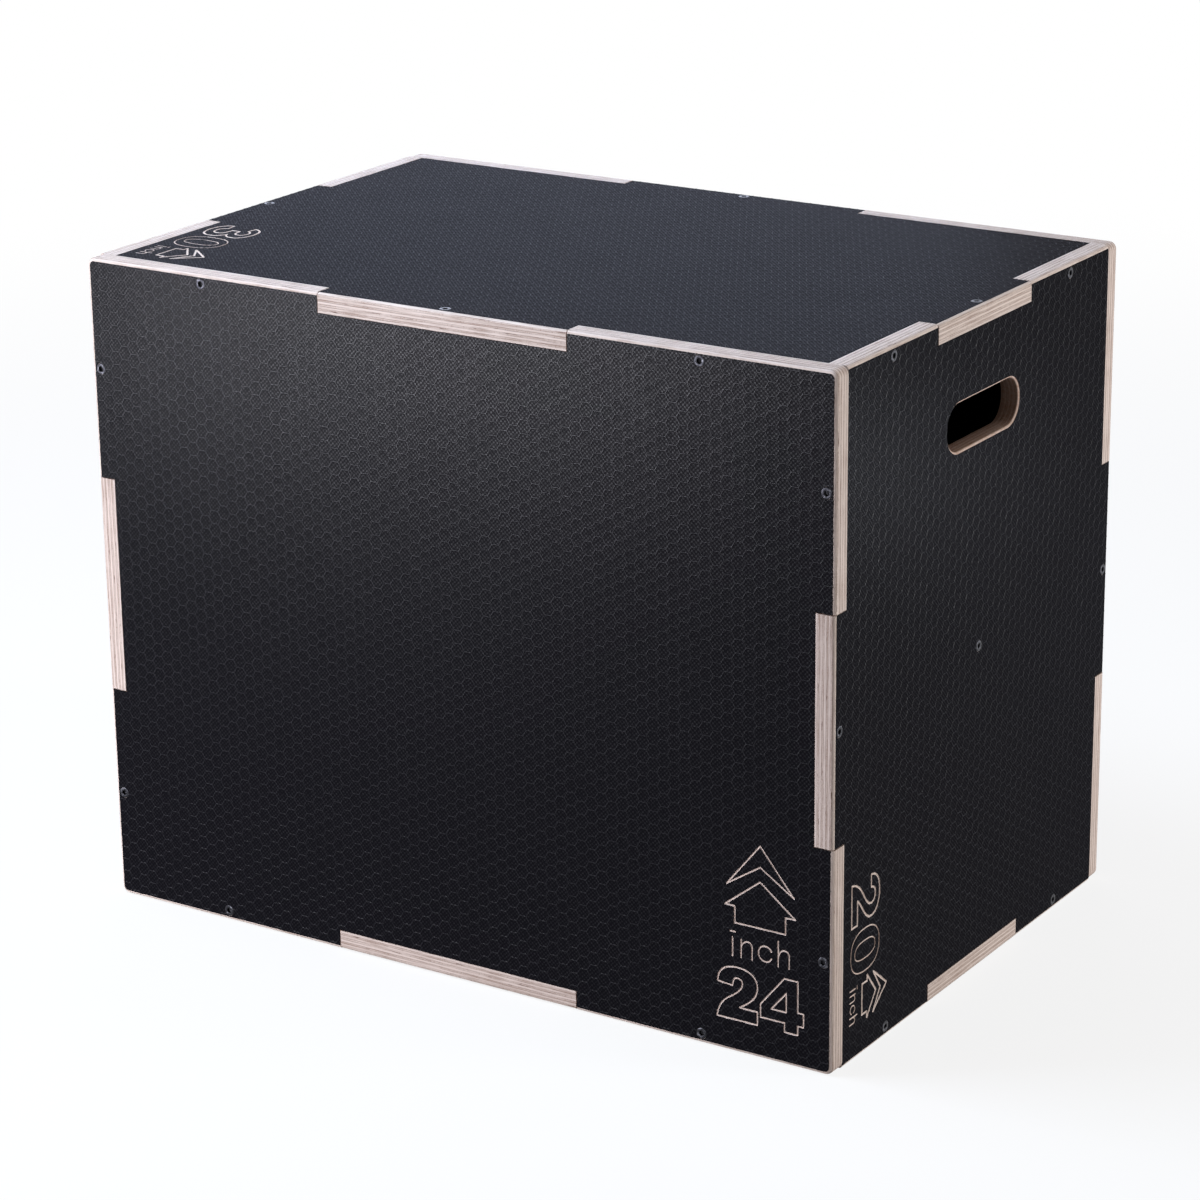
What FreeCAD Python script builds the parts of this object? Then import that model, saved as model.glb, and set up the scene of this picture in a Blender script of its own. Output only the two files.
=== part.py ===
import FreeCAD, Part
import os
import Sketcher

# Plyometric jump box: six finger-jointed plywood boards with an anti-slip film outside and a smooth film
# inside, one support board across the middle, and countersunk screws in the middle of every joint.
# Frame: +X along the 30 inch edge, +Y along the 20 inch edge, +Z up the 24 inch edge. The front is -Y.
# The origin is the middle of the underside.

doc = FreeCAD.newDocument("PlyoBox")

# Driving sizes, in millimetres
SIZES = [
    ("box_width", "762", "outside length along X, the 30 inch edge"),
    ("box_depth", "508", "outside length along Y, the 20 inch edge"),
    ("box_height", "609.6", "outside length along Z, the 24 inch edge"),
    ("board_thickness", "18", "plywood with its outer film"),
    ("outer_film", "0.5", "thickness of the anti-slip film"),
    ("inner_film", "0.3", "thickness of the smooth film inside"),
    ("width_finger", "254", "length of the middle finger on an edge along X"),
    ("depth_finger", "169.3", "length of the middle finger on an edge along Y"),
    ("height_finger", "203.2", "length of the middle finger on an edge along Z"),
    ("roundover", "3", "radius of the rounded outer edges"),
    ("corner_radius", "7", "radius of the box's eight corners, seen square to the front"),
    ("hand_hole_length", "130", "hand hole, along Y"),
    ("hand_hole_height", "42", "hand hole, along Z"),
    ("hand_hole_radius", "20", "corner radius of the hand hole"),
    ("hand_hole_drop", "98", "from the box's top down to the middle of the hand hole"),
    ("support_thickness", "18", "plywood of the support board"),
    ("head_diameter", "10", "countersunk screw head"),
    ("shank_diameter", "6", "screw just below its head"),
    ("point_diameter", "4", "screw at its end"),
    ("screw_length", "50", "screw from the top of its head to its end"),
]
sheet = doc.addObject("Spreadsheet::Sheet", "Sizes")
for row, (alias, value, meaning) in enumerate(SIZES, 1):
    sheet.set(f"A{row}", meaning)
    sheet.set(f"B{row}", value)
    sheet.setAlias(f"B{row}", alias)
doc.recompute()

# Expressions that several pieces share
HALF_WIDTH = "Sizes.box_width / 2"
HALF_DEPTH = "Sizes.box_depth / 2"
HALF_HEIGHT = "Sizes.box_height / 2"
BOARD = "Sizes.board_thickness"
ROUND = "Sizes.roundover"
HALF_WIDTH_FINGER = "Sizes.width_finger / 2"
HALF_DEPTH_FINGER = "Sizes.depth_finger / 2"
HALF_HEIGHT_FINGER = "Sizes.height_finger / 2"

ON_PLANE = 1e-6  # how near an edge lies to the plane that it is looked for on


def number(expression):
    """Value of an expression of the sheet's sizes."""
    return float(sheet.evalExpression(expression))


def minus(expression):
    return f"-({expression})"


def pin(sketch, line, across, up):
    """Fix the start of a line at its two expressions, measured from the sketch's origin."""
    for kind, axis, expression in (("DistanceX", -2, across), ("DistanceY", -1, up)):
        if expression == "0":
            sketch.addConstraint(Sketcher.Constraint("PointOnObject", line, 1, axis))
        else:
            fixed = Sketcher.Constraint(kind, -1, 1, line, 1, number(expression))
            index = sketch.addConstraint(fixed)
            sketch.setExpression(f"Constraints[{index}]", expression)


def draw(body, name, role, loops, height="0"):
    """Sketch of closed loops of straight lines on one of the body's own planes, raised by a height."""
    plane = next(feature for feature in body.Origin.OriginFeatures if feature.Role == role)
    sketch = body.newObject("Sketcher::SketchObject", name)
    sketch.AttachmentSupport = [(plane, "")]
    sketch.MapMode = "FlatFace"
    if height != "0":
        sketch.setExpression("AttachmentOffset.Base.z", height)
    for corners in loops:
        first = sketch.GeometryCount
        count = len(corners)
        points = [FreeCAD.Vector(number(across), number(up), 0) for across, up in corners]
        for step in range(count):
            sketch.addGeometry(Part.LineSegment(points[step], points[(step + 1) % count]), False)
        for step in range(count):
            joined = Sketcher.Constraint("Coincident", first + step, 2, first + (step + 1) % count, 1)
            sketch.addConstraint(joined)
        for step, (across, up) in enumerate(corners):
            pin(sketch, first + step, across, up)
    return sketch


def pad(body, name, sketch, length):
    feature = body.newObject("PartDesign::Pad", name)
    feature.Profile = sketch
    feature.setExpression("Length", length)
    doc.recompute()
    return feature


def edges_of(feature, wanted):
    """Those edges of a feature that a test picks."""
    names = [f"Edge{n}" for n, edge in enumerate(feature.Shape.Edges, 1) if wanted(edge)]
    return (feature, names)


def fillet(body, name, feature, radius, wanted):
    rounded = body.newObject("PartDesign::Fillet", name)
    rounded.Base = edges_of(feature, wanted)
    rounded.setExpression("Radius", radius)
    doc.recompute()
    return rounded


def chamfer(body, name, feature, size, wanted):
    bevelled = body.newObject("PartDesign::Chamfer", name)
    bevelled.Base = edges_of(feature, wanted)
    bevelled.setExpression("Size", size)
    doc.recompute()
    return bevelled


def middle(edge):
    return edge.valueAt((edge.FirstParameter + edge.LastParameter) / 2)


def upright(edge, across, up):
    """True for an edge through the board's thickness at plus or minus a place across, and at a height."""
    point = middle(edge)
    through = abs(edge.tangentAt(edge.FirstParameter).z) > 1 - ON_PLANE
    return through and abs(abs(point.x) - across) < ON_PLANE and abs(abs(point.y) - up) < ON_PLANE


# Outlines. Each board is drawn flat, seen from outside, with its middle at the origin. One quarter is
# given from the middle of the top edge round to the middle of the right edge, and the rest mirrors it.
# The inset pulls in only what lies on an outer edge of the box.
def front_quarter(inset):
    """Front and back: all the box's corners, with a notch in the middle of every edge."""
    side = f"{HALF_WIDTH} - {inset}"
    top = f"{HALF_HEIGHT} - {inset}"
    return [
        (HALF_WIDTH_FINGER, f"{HALF_HEIGHT} - {BOARD}"),
        (HALF_WIDTH_FINGER, top),
        (side, top),
        (side, HALF_HEIGHT_FINGER),
        (f"{HALF_WIDTH} - {BOARD}", HALF_HEIGHT_FINGER),
    ]


def end_quarter(inset):
    """Ends: between front and back, with a notch above and below and a finger at each side."""
    side = f"{HALF_DEPTH} - {BOARD}"
    top = f"{HALF_HEIGHT} - {inset}"
    return [
        (HALF_DEPTH_FINGER, f"{HALF_HEIGHT} - {BOARD}"),
        (HALF_DEPTH_FINGER, top),
        (side, top),
        (side, HALF_HEIGHT_FINGER),
        (f"{HALF_DEPTH} - {inset}", HALF_HEIGHT_FINGER),
    ]


def top_quarter(inset):
    """Top and bottom: inside the four walls, with a finger in the middle of every edge."""
    side = f"{HALF_WIDTH} - {BOARD}"
    top = f"{HALF_DEPTH} - {BOARD}"
    return [
        (HALF_WIDTH_FINGER, f"{HALF_DEPTH} - {inset}"),
        (HALF_WIDTH_FINGER, top),
        (side, top),
        (side, HALF_DEPTH_FINGER),
        (f"{HALF_WIDTH} - {inset}", HALF_DEPTH_FINGER),
    ]


def all_round(quarter):
    """The whole outline from its quarter at the upper right."""
    lower_right = [(across, minus(up)) for across, up in reversed(quarter)]
    lower_left = [(minus(across), minus(up)) for across, up in quarter]
    upper_left = [(minus(across), up) for across, up in reversed(quarter)]
    return quarter + lower_right + lower_left + upper_left


def rectangle(half_across, half_up, middle_up="0"):
    top = f"{middle_up} + {half_up}"
    bottom = f"{middle_up} - ({half_up})"
    return [
        (half_across, top),
        (half_across, bottom),
        (minus(half_across), bottom),
        (minus(half_across), top),
    ]


# Hand hole, the same for the board and its films, which end where its rounded edge starts
HOLE_MIDDLE = f"{HALF_HEIGHT} - Sizes.hand_hole_drop"


def hand_hole(margin):
    half_length = f"Sizes.hand_hole_length / 2 + {margin}"
    half_height = f"Sizes.hand_hole_height / 2 + {margin}"
    return rectangle(half_length, half_height, HOLE_MIDDLE)


def round_hand_hole(body, name, feature, margin):
    """Round the four corners of the hand hole."""
    across = number(f"Sizes.hand_hole_length / 2 + {margin}")
    half_height = number(f"Sizes.hand_hole_height / 2 + {margin}")
    heights = [number(HOLE_MIDDLE) + half_height, number(HOLE_MIDDLE) - half_height]
    radius = f"Sizes.hand_hole_radius + {margin}"
    return fillet(body, name, feature, radius, lambda edge: any(upright(edge, across, up) for up in heights))


def on_hole_rim(edge, level):
    """True for an edge of the hand hole at a level through the board."""
    point = middle(edge)
    at_level = abs(point.z - number(level)) < ON_PLANE
    across = abs(point.x) < number("Sizes.hand_hole_length / 2") + ON_PLANE
    up = abs(point.y - number(HOLE_MIDDLE)) < number("Sizes.hand_hole_height / 2") + ON_PLANE
    return at_level and across and up


# The six sides: half sizes on their arrises, quarter outline, half size of the film inside, screw places,
# the turn about +Z of a wall that starts as the front, and the middle of the outer face
INNER_WIDTH = f"{HALF_WIDTH} - {BOARD}"
INNER_DEPTH = f"{HALF_DEPTH} - {BOARD}"
INNER_HEIGHT = f"{HALF_HEIGHT} - {BOARD}"
FILM = "Sizes.inner_film"

BESIDE_WIDTH_FINGER = f"({HALF_WIDTH_FINGER} + {HALF_WIDTH}) / 2"
BESIDE_HEIGHT_FINGER = f"({HALF_HEIGHT_FINGER} + {HALF_HEIGHT}) / 2"
BESIDE_DEPTH_FINGER = f"({HALF_DEPTH_FINGER} + {HALF_DEPTH} - {BOARD}) / 2"
IN_END_BOARD = f"{HALF_WIDTH} - {BOARD} / 2"
IN_FRONT_BOARD = f"{HALF_DEPTH} - {BOARD} / 2"
IN_TOP_BOARD = f"{HALF_HEIGHT} - {BOARD} / 2"


def both_ways(across, up):
    """A screw place and its mirror images."""
    signs_across = [across] if across == "0" else [across, minus(across)]
    signs_up = [up] if up == "0" else [up, minus(up)]
    return [(place_across, place_up) for place_across in signs_across for place_up in signs_up]


FRONT = {
    "arris": (HALF_WIDTH, HALF_HEIGHT),
    "quarter": front_quarter,
    "inside": (INNER_WIDTH, INNER_HEIGHT),
    "screws": both_ways(BESIDE_WIDTH_FINGER, IN_TOP_BOARD) + both_ways(IN_END_BOARD, BESIDE_HEIGHT_FINGER),
    "corners": True,
    "hand_hole": False,
}
END = {
    "arris": (HALF_DEPTH, HALF_HEIGHT),
    "quarter": end_quarter,
    "inside": (f"{INNER_DEPTH} - {FILM}", INNER_HEIGHT),
    "screws": both_ways(BESIDE_DEPTH_FINGER, IN_TOP_BOARD) + both_ways(IN_FRONT_BOARD, "0") + [("0", "0")],
    "corners": False,
    "hand_hole": True,
}
TOP = {
    "arris": (HALF_WIDTH, HALF_DEPTH),
    "quarter": top_quarter,
    "inside": (f"{INNER_WIDTH} - {FILM}", f"{INNER_DEPTH} - {FILM}"),
    "screws": both_ways("0", IN_FRONT_BOARD) + both_ways(IN_END_BOARD, "0"),
    "corners": False,
    "hand_hole": False,
}

UP = FreeCAD.Vector(0, 0, 1)
ALONG = FreeCAD.Vector(1, 0, 0)
QUARTER_TURN = 90
STANDING = FreeCAD.Rotation(ALONG, QUARTER_TURN)


def wall_turn(quarters):
    return FreeCAD.Rotation(UP, quarters * QUARTER_TURN).multiply(STANDING)


# Name, drawing, turn, and the outer face's point for a place across and up on the flat drawing
SIDES = [
    ("front", FRONT, wall_turn(0), ("{across}", minus(HALF_DEPTH), HALF_HEIGHT + " + {up}")),
    ("right_end", END, wall_turn(1), (HALF_WIDTH, "{across}", HALF_HEIGHT + " + {up}")),
    ("back", FRONT, wall_turn(2), ("-({across})", HALF_DEPTH, HALF_HEIGHT + " + {up}")),
    ("left_end", END, wall_turn(3), (minus(HALF_WIDTH), "-({across})", HALF_HEIGHT + " + {up}")),
    ("top", TOP, FreeCAD.Rotation(), ("{across}", "{up}", "Sizes.box_height")),
    ("bottom", TOP, FreeCAD.Rotation(ALONG, 2 * QUARTER_TURN), ("{across}", "-({up})", "0")),
]


def place(item, turn, point, across="0", up="0"):
    """Set an item on a side of the box, at a place across and up from the middle of that side."""
    item.Placement.Rotation = turn
    for axis, expression in zip("xyz", point):
        item.setExpression(f"Placement.Base.{axis}", expression.format(across=across, up=up))


# Screws: one screw and one bore with few faces, lofted through polygons, each copied to all places.
# The 45 degree cone of the bore runs on past the surface, so that it opens cleanly.
HEAD = "Sizes.head_diameter / 2"
SHANK = "Sizes.shank_diameter / 2"
POINT = "Sizes.point_diameter / 2"
SCREW_SIDES = 8


def tapered(name, sections):
    """Solid through polygons, each given by its height and the radius to its corners."""
    rings = []
    for height, radius in sections:
        ring = doc.addObject("Part::RegularPolygon", f"{name}_ring")
        ring.Polygon = SCREW_SIDES
        ring.setExpression("Circumradius", radius)
        ring.setExpression("Placement.Base.z", height)
        rings.append(ring)
    solid = doc.addObject("Part::Loft", name)
    solid.Sections = rings
    solid.Solid = True
    solid.Ruled = True
    return solid


below_head = [(f"{SHANK} - {HEAD}", SHANK), ("-Sizes.screw_length", POINT)]
screw = tapered("screw", [("0", HEAD)] + below_head)
bore = tapered("bore", [("Sizes.outer_film", f"{HEAD} + Sizes.outer_film")] + below_head)

screw_groups = {}
bores = []
for name, drawing, turn, point in SIDES:
    group = []
    for across, up in drawing["screws"]:
        for master, copies in ((screw, group), (bore, bores)):
            copy = doc.addObject("App::Link", f"{name}_{master.Name}")
            copy.LinkedObject = master
            place(copy, turn, point, across, up)
            copies.append(copy)
    screw_groups[name] = group
doc.recompute()

parts = []


def finish(item, label):
    item.Label = label
    parts.append(item)


def bored(body, label):
    """The body with the screws' bores that reach it cut out of it."""
    doc.recompute()
    room = body.Shape.BoundBox
    reaching = [bore for bore in bores if Part.getShape(bore).BoundBox.intersect(room)]
    if not reaching:
        finish(body, label)
        return
    tools = doc.addObject("Part::Compound", f"{label}_bores")
    tools.Links = reaching
    cut = doc.addObject("Part::Cut", f"{label}_bored")
    cut.Base = body
    cut.Tool = tools
    finish(cut, label)


def board(name, drawing, turn, point):
    """Plywood of one side, without its films: outline, rounded corners and outer edges, hand hole."""
    body = doc.addObject("PartDesign::Body", f"{name}_board")
    outer_level = "-Sizes.outer_film"
    inner_level = minus(BOARD)
    reach_across, reach_up = [number(reach) for reach in drawing["arris"]]

    def on_arris(edge):
        spot = middle(edge)
        at_reach = abs(abs(spot.x) - reach_across) < ON_PLANE or abs(abs(spot.y) - reach_up) < ON_PLANE
        at_corner = drawing["corners"] and isinstance(edge.Curve, Part.Circle)
        return abs(spot.z - number(outer_level)) < ON_PLANE and (at_reach or at_corner)

    loops = [all_round(drawing["quarter"]("0"))]
    if drawing["hand_hole"]:
        loops.append(hand_hole("0"))
    outline = draw(body, f"{name}_outline", "XY_Plane", loops, inner_level)
    shape = pad(body, f"{name}_sheet", outline, f"{BOARD} - Sizes.outer_film")
    if drawing["corners"]:
        shape = fillet(
            body, f"{name}_corners", shape, "Sizes.corner_radius",
            lambda edge: upright(edge, reach_across, reach_up),
        )
    shape = fillet(body, f"{name}_roundover", shape, ROUND, on_arris)
    if drawing["hand_hole"]:
        shape = round_hand_hole(body, f"{name}_hole_corners", shape, "0")
        shape = fillet(
            body, f"{name}_hole_rim", shape, ROUND, lambda edge: on_hole_rim(edge, outer_level)
        )
        chamfer(
            body, f"{name}_hole_inside", shape, ROUND, lambda edge: on_hole_rim(edge, inner_level)
        )
    place(body, turn, point)
    bored(body, f"{name}_panel")


def anti_slip_film(name, drawing, turn, point):
    """Film on the outer face, up to where the rounded edges start."""
    body = doc.addObject("PartDesign::Body", f"{name}_cover")
    loops = [all_round(drawing["quarter"](ROUND))]
    if drawing["hand_hole"]:
        loops.append(hand_hole(ROUND))
    outline = draw(body, f"{name}_cover_outline", "XY_Plane", loops, "-Sizes.outer_film")
    shape = pad(body, f"{name}_cover_sheet", outline, "Sizes.outer_film")
    if drawing["corners"]:
        across, up = [number(f"{reach} - {ROUND}") for reach in drawing["arris"]]
        fillet(
            body, f"{name}_cover_corners", shape, f"Sizes.corner_radius - {ROUND}",
            lambda edge: upright(edge, across, up),
        )
    if drawing["hand_hole"]:
        round_hand_hole(body, f"{name}_cover_hole", shape, ROUND)
    place(body, turn, point)
    bored(body, f"{name}_anti_slip_film")


def smooth_film(name, drawing, turn, point):
    """Film on the inner face, between the joints."""
    body = doc.addObject("PartDesign::Body", f"{name}_lining")
    loops = [rectangle(*drawing["inside"])]
    if drawing["hand_hole"]:
        loops.append(hand_hole(ROUND))
    outline = draw(body, f"{name}_lining_outline", "XY_Plane", loops, f"-{BOARD} - {FILM}")
    shape = pad(body, f"{name}_lining_sheet", outline, FILM)
    if drawing["hand_hole"]:
        round_hand_hole(body, f"{name}_lining_hole", shape, ROUND)
    place(body, turn, point)
    bored(body, f"{name}_inner_film")


for name, drawing, turn, point in SIDES:
    board(name, drawing, turn, point)
    anti_slip_film(name, drawing, turn, point)
    smooth_film(name, drawing, turn, point)
    group = doc.addObject("Part::Compound", f"{name}_fasteners")
    group.Links = screw_groups[name]
    finish(group, f"{name}_screws")

# Support board: level, at half height, between all four walls
support = doc.addObject("PartDesign::Body", "support")
support_outline = draw(
    support, "support_outline", "XY_Plane",
    [rectangle(f"{INNER_WIDTH} - {FILM}", f"{INNER_DEPTH} - {FILM}")],
    f"{HALF_HEIGHT} - Sizes.support_thickness / 2",
)
pad(support, "support_sheet", support_outline, "Sizes.support_thickness")
bored(support, "inner_support_board")

doc.recompute()

# Every object has to be sound before anything is written
for item in doc.Objects:
    if "Invalid" in item.State or "Error" in item.State:
        raise RuntimeError(f"{item.Label} failed: {item.State}")
for item in parts:
    if item.Shape.isNull() or not item.Shape.isValid():
        raise RuntimeError(f"{item.Label} has no valid shape")

os.makedirs("parts", exist_ok=True)
for item in parts:
    item.Shape.exportStep(f"parts/{item.Label}.step")
    print(f"{item.Label}: {len(item.Shape.Solids)} solid(s), {item.Shape.Volume:.0f} mm3")
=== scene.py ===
import math

import bpy
import numpy as np
from mathutils import Matrix, Vector


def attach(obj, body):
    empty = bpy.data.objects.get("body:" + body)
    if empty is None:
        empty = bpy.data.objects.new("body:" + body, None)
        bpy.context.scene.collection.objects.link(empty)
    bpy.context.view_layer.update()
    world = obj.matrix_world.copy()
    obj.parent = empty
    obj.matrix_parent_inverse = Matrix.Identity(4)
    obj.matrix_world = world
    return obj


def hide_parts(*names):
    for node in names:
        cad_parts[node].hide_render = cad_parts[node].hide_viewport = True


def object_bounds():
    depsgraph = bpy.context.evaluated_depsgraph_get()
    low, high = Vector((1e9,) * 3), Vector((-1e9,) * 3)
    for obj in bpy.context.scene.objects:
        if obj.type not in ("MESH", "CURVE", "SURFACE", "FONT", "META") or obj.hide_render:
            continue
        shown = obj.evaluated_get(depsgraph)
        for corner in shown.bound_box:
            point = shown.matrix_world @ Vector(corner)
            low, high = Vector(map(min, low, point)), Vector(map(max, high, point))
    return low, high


# Jump box: six finger-jointed plywood boards under a black film with a honeycomb relief, with routed
# height marks and countersunk screws. Every side is worked out flat, in millimetres: across, up, and out
# of the face, with the face at zero. The frame and the finished pieces are in metres.
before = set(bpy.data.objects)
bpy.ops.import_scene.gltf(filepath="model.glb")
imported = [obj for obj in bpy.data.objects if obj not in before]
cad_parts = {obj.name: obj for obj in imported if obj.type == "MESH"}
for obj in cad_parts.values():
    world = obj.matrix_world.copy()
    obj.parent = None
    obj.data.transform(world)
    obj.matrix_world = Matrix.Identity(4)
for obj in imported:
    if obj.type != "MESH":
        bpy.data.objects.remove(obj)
cadLow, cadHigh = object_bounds()
mm = 0.001
width, depth, height = [(high - low) / mm for low, high in zip(cadLow, cadHigh)]
halfWidth, halfDepth, halfHeight = width / 2, depth / 2, height / 2
print(f"frame: {width:.1f} x {depth:.1f} x {height:.1f} mm, {len(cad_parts)} nodes")

boards = {
    "thickness": 18.0,  # plywood with its outer film
    "film": 0.5,
    "widthFinger": 254.0,  # the middle finger on an edge along X
    "depthFinger": 169.3,
    "heightFinger": 203.2,
    "corner": 7.0,  # radius of the box's eight corners, seen square to the front
    "roundover": 3.0,  # radius of the bare wooden arrises
    "roundSteps": 7,
    "gap": 0.9,  # dark line between two boards in a joint
    "past": 1.0,  # how far a cutting tool reaches beyond a face
}
sides = {
    "front": {"drawing": "wall", "middle": (0, -halfDepth, halfHeight), "across": (1, 0, 0), "up": (0, 0, 1)},
    "right_end": {
        "drawing": "end", "middle": (halfWidth, 0, halfHeight), "across": (0, 1, 0), "up": (0, 0, 1),
    },
    "back": {"drawing": "wall", "middle": (0, halfDepth, halfHeight), "across": (-1, 0, 0), "up": (0, 0, 1)},
    "left_end": {
        "drawing": "end", "middle": (-halfWidth, 0, halfHeight), "across": (0, -1, 0), "up": (0, 0, 1),
    },
    "top": {"drawing": "lid", "middle": (0, 0, height), "across": (1, 0, 0), "up": (0, 1, 0)},
    "bottom": {"drawing": "lid", "middle": (0, 0, 0), "across": (1, 0, 0), "up": (0, -1, 0)},
}


# Meshes. A solid is a pair: points on the flat drawing, and faces as lists of point numbers.
def onSide(points, side):
    # a point is the side's middle plus its distances along the side's own three directions
    across, up = np.array(side["across"], float), np.array(side["up"], float)
    turn = np.stack([across, up, np.cross(across, up)])
    return (np.array(side["middle"], float) + np.asarray(points, float) @ turn) * mm


def atHeight(flat, out):
    # flat points, all at one height out of the face
    return np.column_stack([flat, np.full(len(flat), out)])


def joined(solids):
    # several solids as one, each with its point numbers shifted past those before it
    starts = np.cumsum([0] + [len(points) for points, _ in solids])
    points = np.concatenate([points for points, _ in solids])
    faces = [[int(start) + n for n in face] for start, (_, own) in zip(starts, solids) for face in own]
    return points, faces


def newObject(name, points, faces):
    mesh = bpy.data.meshes.new(name)
    mesh.from_pydata(points.tolist(), [], faces)
    mesh.validate()
    item = bpy.data.objects.new(name, mesh)
    bpy.context.scene.collection.objects.link(item)
    return item


def bandFaces(first, second):
    # quads between two closed rings of point numbers that run the same way
    return np.stack([first, np.roll(first, -1), np.roll(second, -1), second], 1).tolist()


def stack(rings):
    # closed solid through rings of equal length, from the lowest to the highest, each seen anticlockwise
    rings = np.asarray(rings, float)
    numbers = np.arange(rings.shape[0] * rings.shape[1]).reshape(rings.shape[:2])
    faces = [numbers[0, ::-1].tolist(), numbers[-1].tolist()]
    for lower, upper in zip(numbers[:-1], numbers[1:]):
        faces += bandFaces(lower, upper)
    return rings.reshape(-1, 3), faces


def work(items, tool, operation="DIFFERENCE"):
    # each item is cut by the tool, whose material the cut faces take; then the tool is put away
    for item in items:
        modifier = item.modifiers.new("cut", "BOOLEAN")
        modifier.solver = "MANIFOLD"
        modifier.material_mode = "TRANSFER"
        modifier.operation = operation
        modifier.object = tool
        graph = bpy.context.evaluated_depsgraph_get()
        result = bpy.data.meshes.new_from_object(item.evaluated_get(graph))
        item.modifiers.remove(modifier)
        spare = item.data
        item.data = result
        bpy.data.meshes.remove(spare)
    spare = tool.data
    bpy.data.objects.remove(tool)
    bpy.data.meshes.remove(spare)


creaseAngle = 30.0  # in degrees; edges sharper than this stay sharp


def smooth(item):
    item.data.shade_smooth()
    item.data.set_sharp_from_angle(angle=math.radians(creaseAngle))


def triangles(item):
    return sum(len(face.vertices) - 2 for face in item.data.polygons)


# Outlines of the boards. One quarter runs from the middle of the upper edge to the middle of the right one,
# as rows of across, up, and the way that the arris pulls in there, which is zero inside a joint.
fingerX = boards["widthFinger"] / 2
fingerY = boards["depthFinger"] / 2
fingerZ = boards["heightFinger"] / 2
slack = boards["gap"] / 2
sunk = boards["thickness"] + slack  # depth of a notch


def wallQuarter():
    # notched in the middle of every edge, with all the box's corners, each a quarter circle
    radius = boards["corner"]
    angles = np.linspace(math.pi / 2, 0, boards["roundSteps"])
    way = np.stack([np.cos(angles), np.sin(angles)], 1)
    corner = np.array([halfWidth - radius, halfHeight - radius]) + radius * way
    return np.concatenate([
        [[fingerX + slack, halfHeight - sunk, 0, 0], [fingerX + slack, halfHeight, 0, -1]],
        np.concatenate([corner, -way], 1),
        [[halfWidth, fingerZ + slack, -1, 0], [halfWidth - sunk, fingerZ + slack, 0, 0]],
    ])


def endQuarter():
    # notched above and below, with a finger at each side
    return np.array([
        [fingerY + slack, halfHeight - sunk, 0, 0],
        [fingerY + slack, halfHeight, 0, -1],
        [halfDepth - sunk, halfHeight, 0, -1],
        [halfDepth - sunk, fingerZ - slack, 0, 0],
        [halfDepth, fingerZ - slack, -1, 0],
    ])


def lidQuarter():
    # a finger in the middle of every edge
    return np.array([
        [fingerX - slack, halfDepth, 0, -1],
        [fingerX - slack, halfDepth - sunk, 0, 0],
        [halfWidth - sunk, halfDepth - sunk, 0, 0],
        [halfWidth - sunk, fingerY - slack, 0, 0],
        [halfWidth, fingerY - slack, -1, 0],
    ])


quarters = {"wall": wallQuarter(), "end": endQuarter(), "lid": lidQuarter()}


def outlineOf(drawing):
    # the quarter and its three mirror images, turned round so that it runs anticlockwise
    quarter = quarters[drawing]
    lower = (quarter * [1, -1, 1, -1])[::-1]
    upper = (quarter * [-1, 1, -1, 1])[::-1]
    return np.concatenate([quarter, lower, -quarter, upper])[::-1]


def outlineStack(drawing, levels):
    # each level is a height out of the face and how far the arrises are pulled in there
    outline = outlineOf(drawing)
    return stack([atHeight(outline[:, :2] + inset * outline[:, 2:], out) for out, inset in levels])


def boardSolid(drawing):
    # straight edge from the inner face, then a quarter circle to the face under the film
    radius, face = boards["roundover"], -boards["film"]
    angles = np.linspace(0, math.pi / 2, boards["roundSteps"])
    rounded = [(face - radius * (1 - math.sin(a)), radius * (1 - math.cos(a))) for a in angles]
    return outlineStack(drawing, [(-boards["thickness"], 0)] + rounded)


# Honeycomb relief of the film: slightly dished hexagons in columns, raised to a narrow crest where they meet
honeycomb = {
    "flats": 12.0,  # from one flat of a hexagon to the next
    "rings": [(0.0, 0.0), (0.3, -0.01), (0.7, -0.17)],  # inside the meeting line, and out of the face
    "dish": -0.22,  # out of the face, in the middle of a hexagon
    "under": -2.0,  # the sheet is cut to the film's thickness later
}


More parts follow.
